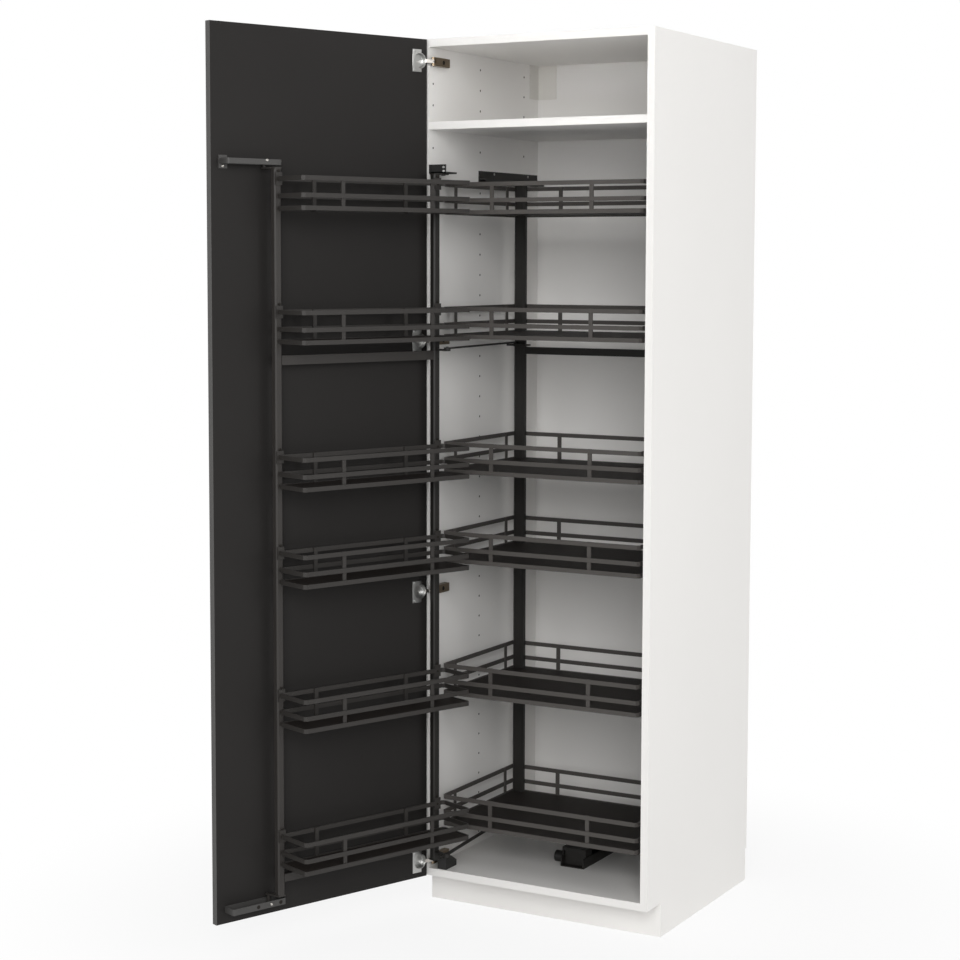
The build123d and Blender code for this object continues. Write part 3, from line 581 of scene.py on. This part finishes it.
# Trays: flat dark boards faced with a grained matt foil, cut to size and laid loose on the
# feet of the baskets' struts.
tray_finish = Finish("dark grained tray", Specular_IOR_Level=0.15)
tray_grain = tray_finish.noise(1300, detail=3)
tray_cloud = tray_finish.noise(5, detail=3)
tray_finish.wear(
    Base_Color=tray_finish.between(tray_cloud, (0.0135, 0.0110, 0.0096), (0.0205, 0.0170, 0.0150)),
    Roughness=0.5 + 0.2 * tray_grain,
    Normal=tray_finish.relief(tray_grain, 0.00010),
).cover("door_trays", "rear_trays")


# Guide rails, pivot block and bracket, slide channel and roller: grey and black plastic
# mouldings with a fine spark-eroded grain, screwed to the door and the boards or pinned on.
def moulded(name, dark, light):
    """Moulded plastic: a fine grain in gloss and relief over two near tones."""
    finish = Finish(name, Specular_IOR_Level=0.4)
    grain = finish.noise(1000, detail=2)
    return finish.wear(
        Base_Color=finish.between(finish.noise(18), dark, light),
        Roughness=0.38 + 0.2 * grain,
        Normal=finish.relief(grain, 0.00005),
    )


moulded("dark grey moulding", (0.040, 0.039, 0.037), (0.056, 0.054, 0.052)).cover(
    "bottom_guide_rail", "top_guide_rail"
)
black_moulding = moulded("black moulding", (0.010, 0.0097, 0.0092), (0.018, 0.0175, 0.0165))
black_moulding.cover("pivot_block", "pivot_bracket", "top_slide_channel", "carriage_roller")


# Fittings of the guide rails: two holes in the lower rail's front face, drawn as flat discs darkened as
# painted shade, a bright bolt end in each rail, and a screw in the drop of the upper rail's flange.
rail_low, rail_high = door_span("bottom_guide_rail")
rail_middle = (rail_low[2] + rail_high[2]) / 2
rail_hole_places = rail_low[0] + np.array([0.015, 0.075])
rail_hole_profile = [(0.0015, 0.0001), (0.0036, 0.0001), (0.0042, 0.0002), (0.0046, 0)]
rail_hole_centres = on_door(rail_hole_places, rail_high[1], rail_middle)
# Painted shade: dark discs stand for the two holes in the rail's face.
rail_hole_shade_discs = turned("rail_hole_shade_discs", rail_hole_centres, off, along, rail_hole_profile)
burnished.cover(rail_hole_shade_discs)
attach(rail_hole_shade_discs, "door")
bolt_place = 0.040
bolt_radius = 0.0032
bolt_rise = 0.0014
lower_bolt = on_door(rail_low[0] + bolt_place, rail_high[1], rail_middle)
screws("lower_rail_bolt", "door", lower_bolt, off, along, bolt_radius, bolt_rise, nickel)
flange_low, flange_high = door_span("top_guide_rail")
flange_drop = 0.010
upper_bolt_level = (flange_low[2] + flange_drop + flange_high[2]) / 2
upper_bolt = on_door(flange_low[0] + bolt_place, flange_high[1], upper_bolt_level)
screws("upper_rail_bolt", "door", upper_bolt, off, along, bolt_radius, bolt_rise, nickel)
flange_steel = 0.003
flange_screw_inset = 0.030
flange_screw_radius = 0.0034
flange_screw = on_door(door_width - flange_screw_inset, flange_steel, flange_low[2] + flange_drop / 2)
screws("flange_screw", "door", flange_screw, off, along, flange_screw_radius, bolt_rise, nickel)


# Pivot bracket's front cheek: a black folded plate standing on the front edge of the bracket,
# with two bolt heads near its free end.
bracket_low, bracket_high = (np.array(corner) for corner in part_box("pivot_bracket"))
cheek_steel = 0.003
cheek_edge = 0.0006
bracket_plate = 0.004
cheek_half = (bracket_high[[0, 2]] - bracket_low[[0, 2]] - bracket_plate) / 2
cheek_across, cheek_level = bracket_high[[0, 2]] - cheek_half
cheek_middle = (cheek_across, bracket_low[1] + cheek_steel, cheek_level)
cheek = slabs(
    "pivot_bracket_cheek", cheek_middle, (1, 0, 0), (0, 0, 1), cheek_half, cheek_steel, cheek_edge
)
black_moulding.cover(cheek)
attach(cheek, "carcase")
cheek_bolt_inset = 0.006
cheek_bolt_spread = 0.0045
cheek_bolt_rise = 0.0016
cheek_bolt_middle = np.array([bracket_high[0] - cheek_bolt_inset, bracket_low[1], cheek_level])
cheek_bolts = cheek_bolt_middle + np.outer((-cheek_bolt_spread, cheek_bolt_spread), upward)
screws("cheek_bolts", "carcase", cheek_bolts, (0, -1, 0), (1, 0, 0), bolt_radius, cheek_bolt_rise, zinc)


# Screws of the slide bracket: zinc-plated pan heads, driven through the folded upright that
# lies on the left side panel.
slide_low, slide_high = (np.array(corner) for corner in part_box("top_slide_bracket"))
bracket_steel = 0.002
slide_screw_shares = np.array([0.25, 0.83])
slide_screw_drop = 0.006
slide_screw_rise = 0.0012
slide_places = slide_low[1] + (slide_high[1] - slide_low[1]) * slide_screw_shares
slide_face = np.full(2, slide_low[0] + bracket_steel)
slide_levels = np.full(2, slide_high[2] - slide_screw_drop)
slide_centres = np.stack([slide_face, slide_places, slide_levels], -1)
screws(
    "slide_screws", "carcase", slide_centres, (1, 0, 0), (0, 1, 0), bolt_radius, slide_screw_rise, zinc
)


# Floor and lights: a plain white sweep that fades into the white room round it, one large
# soft lamp high in front, one on the right, and a narrow fill for the upper compartment.
floor_size = 14.0
floor_corners = np.array([(-1, -1, 0), (1, -1, 0), (1, 1, 0), (-1, 1, 0)]) * floor_size
floor_mesh = bpy.data.meshes.new("floor")
floor_mesh.from_pydata(floor_corners.tolist(), [], [(0, 1, 2, 3)])
floor = bpy.data.objects.new("floor", floor_mesh)
bpy.context.scene.collection.objects.link(floor)
floor_grey = (0.9, 0.9, 0.9, 1)
floor_finish = Finish("studio floor", Roughness=0.9, Specular_IOR_Level=0.1, Base_Color=floor_grey)
floor_light = floor_finish.node("ShaderNodeEmission", {}, {"Color": (1, 1, 1, 1), "Strength": 1.0})
floor_ray = floor_finish.node("ShaderNodeLightPath")
seeing_rays = [floor_ray.outputs[f"Is {kind} Ray"] for kind in ("Camera", "Glossy", "Transmission")]
floor_seen = sum(Signal(floor_finish, ray) for ray in seeing_rays)
floor_reach = floor_finish.node("ShaderNodeVectorMath", {"operation": "LENGTH"}, {0: floor_finish.place})
fade_start = 0.6
fade_end = 1.5
fade_least = 0.86
floor_fade = floor_finish.node(
    "ShaderNodeMapRange",
    {"interpolation_type": "SMOOTHSTEP"},
    {
        "Value": Signal(floor_finish, floor_reach.outputs["Value"]),
        "From Min": fade_start,
        "From Max": fade_end,
        "To Min": fade_least,
        "To Max": 1.0,
    },
)
floor_share = floor_seen * Signal(floor_finish, floor_fade.outputs[0])
floor_mix = floor_finish.node("ShaderNodeMixShader", {}, {0: floor_share})
floor_finish.tree.links.new(floor_finish.shader.outputs[0], floor_mix.inputs[1])
floor_finish.tree.links.new(floor_light.outputs[0], floor_mix.inputs[2])
floor_output = next(n for n in floor_finish.tree.nodes if n.type == "OUTPUT_MATERIAL")
floor_finish.tree.links.new(floor_mix.outputs[0], floor_output.inputs[0])
floor_finish.cover(floor)

world = bpy.data.worlds.new("studio")
bpy.context.scene.world = world
world.use_nodes = True
sky = next(n for n in world.node_tree.nodes if n.type == "BACKGROUND")
sky.inputs["Color"].default_value = (1, 1, 1, 1)
sky_ray = world.node_tree.nodes.new("ShaderNodeLightPath")
sky_level = world.node_tree.nodes.new("ShaderNodeMapRange")
ambient = 0.44
sky_level.inputs["To Min"].default_value = 1.0
sky_level.inputs["To Max"].default_value = ambient
world.node_tree.links.new(sky_ray.outputs["Is Diffuse Ray"], sky_level.inputs["Value"])
world.node_tree.links.new(sky_level.outputs[0], sky.inputs["Strength"])


def softbox(name, place, aim, size, watts, spread=180):
    """A square area lamp at a place, turned to face a point, its beam spread in degrees."""
    lamp = bpy.data.lights.new(name, "AREA")
    lamp.shape = "SQUARE"
    lamp.size = size
    lamp.energy = watts
    lamp.spread = math.radians(spread)
    box = bpy.data.objects.new(name, lamp)
    turn = (Vector(aim) - Vector(place)).to_track_quat("-Z", "Y")
    box.matrix_world = Matrix.Translation(place) @ turn.to_matrix().to_4x4()
    bpy.context.scene.collection.objects.link(box)


softbox("side", (6.0, -0.8, 2.4), (0.3, 0.2, 1.1), 2.6, 77)
softbox("front", (2.6, -5.5, 2.8), (0.0, 0.2, 1.2), 3.0, 228)
softbox("upper", (0.9, -4.6, 1.2), (0.0, 0.3, 2.25), 0.6, 0.26, spread=13)


# Camera: at the photograph's standpoint, a long lens tipped slightly down and the frame
# dropped a little, so that the uprights stay nearly upright.
camera_place = Vector((2.2207, -4.2843, 1.5634))
camera_yaw = math.radians(29.341)
camera_pitch = math.radians(-4.753)
camera_roll = math.radians(0.142)
camera_data = bpy.data.cameras.new("camera")
camera_data.sensor_width = 36.0
camera_data.lens = 77.31
camera_data.shift_y = -0.05
camera = bpy.data.objects.new("camera", camera_data)
camera.matrix_world = (
    Matrix.Translation(camera_place)
    @ Matrix.Rotation(camera_yaw, 4, "Z")
    @ Matrix.Rotation(math.pi / 2 + camera_pitch, 4, "X")
    @ Matrix.Rotation(camera_roll, 4, "Z")
)
bpy.context.scene.collection.objects.link(camera)
bpy.context.scene.camera = camera
bpy.context.scene.view_settings.view_transform = "Standard"
